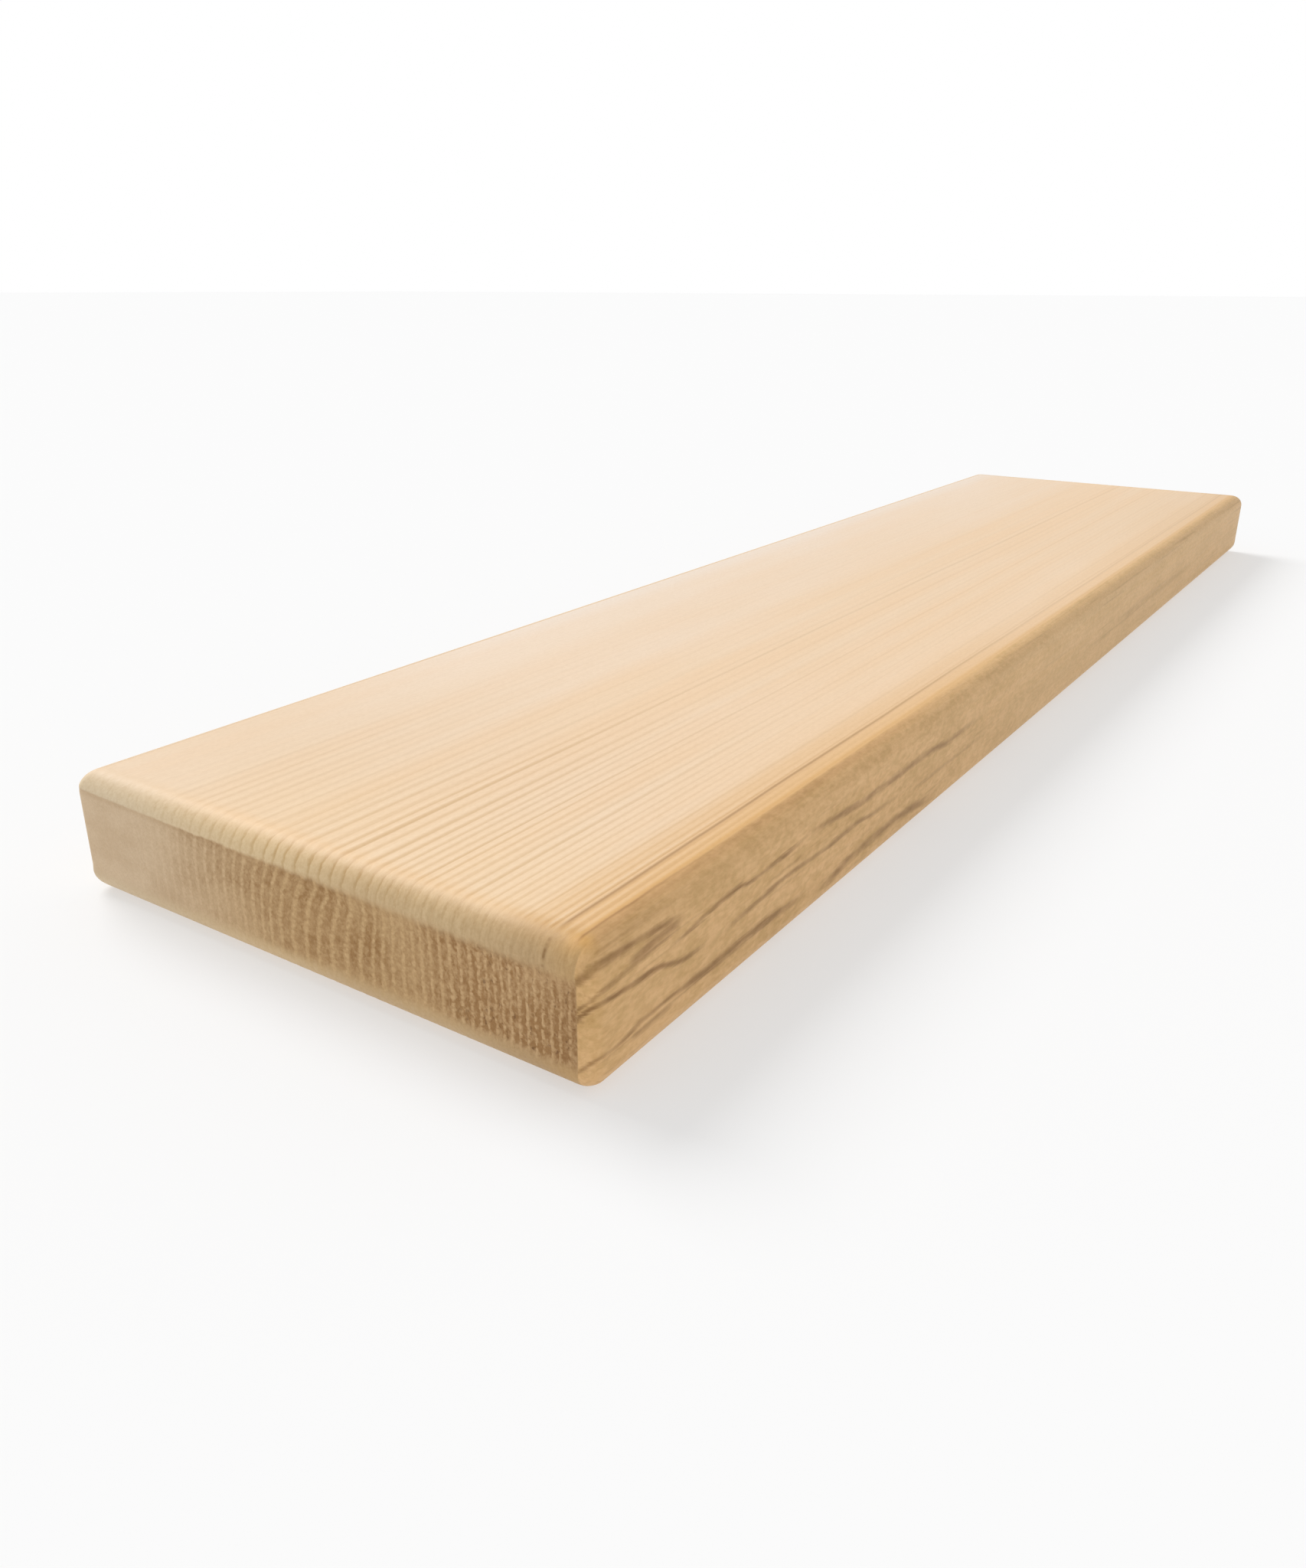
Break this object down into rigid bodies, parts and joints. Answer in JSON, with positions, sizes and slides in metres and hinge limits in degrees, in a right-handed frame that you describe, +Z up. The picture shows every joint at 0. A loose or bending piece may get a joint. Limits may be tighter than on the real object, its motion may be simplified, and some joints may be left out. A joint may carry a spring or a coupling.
{
  "type": "sauna bench board",
  "caption": "Short flat bench board of pale solid wood with rounded edges and ends, laid side by side with others to make a sauna bench.",
  "frame": {"origin": "middle of the flat underside", "axes": "+X along the board's length, +Z up out of the seat face, -Y out of the front long edge"},
  "size_m": [0.55, 0.14, 0.028],
  "materials": {
    "cedar_wood": "planed and sanded bare wood, matt"
  },
  "bodies": {
    "root": {"bench_board": "cedar_wood"}
  },
  "joints": []
}
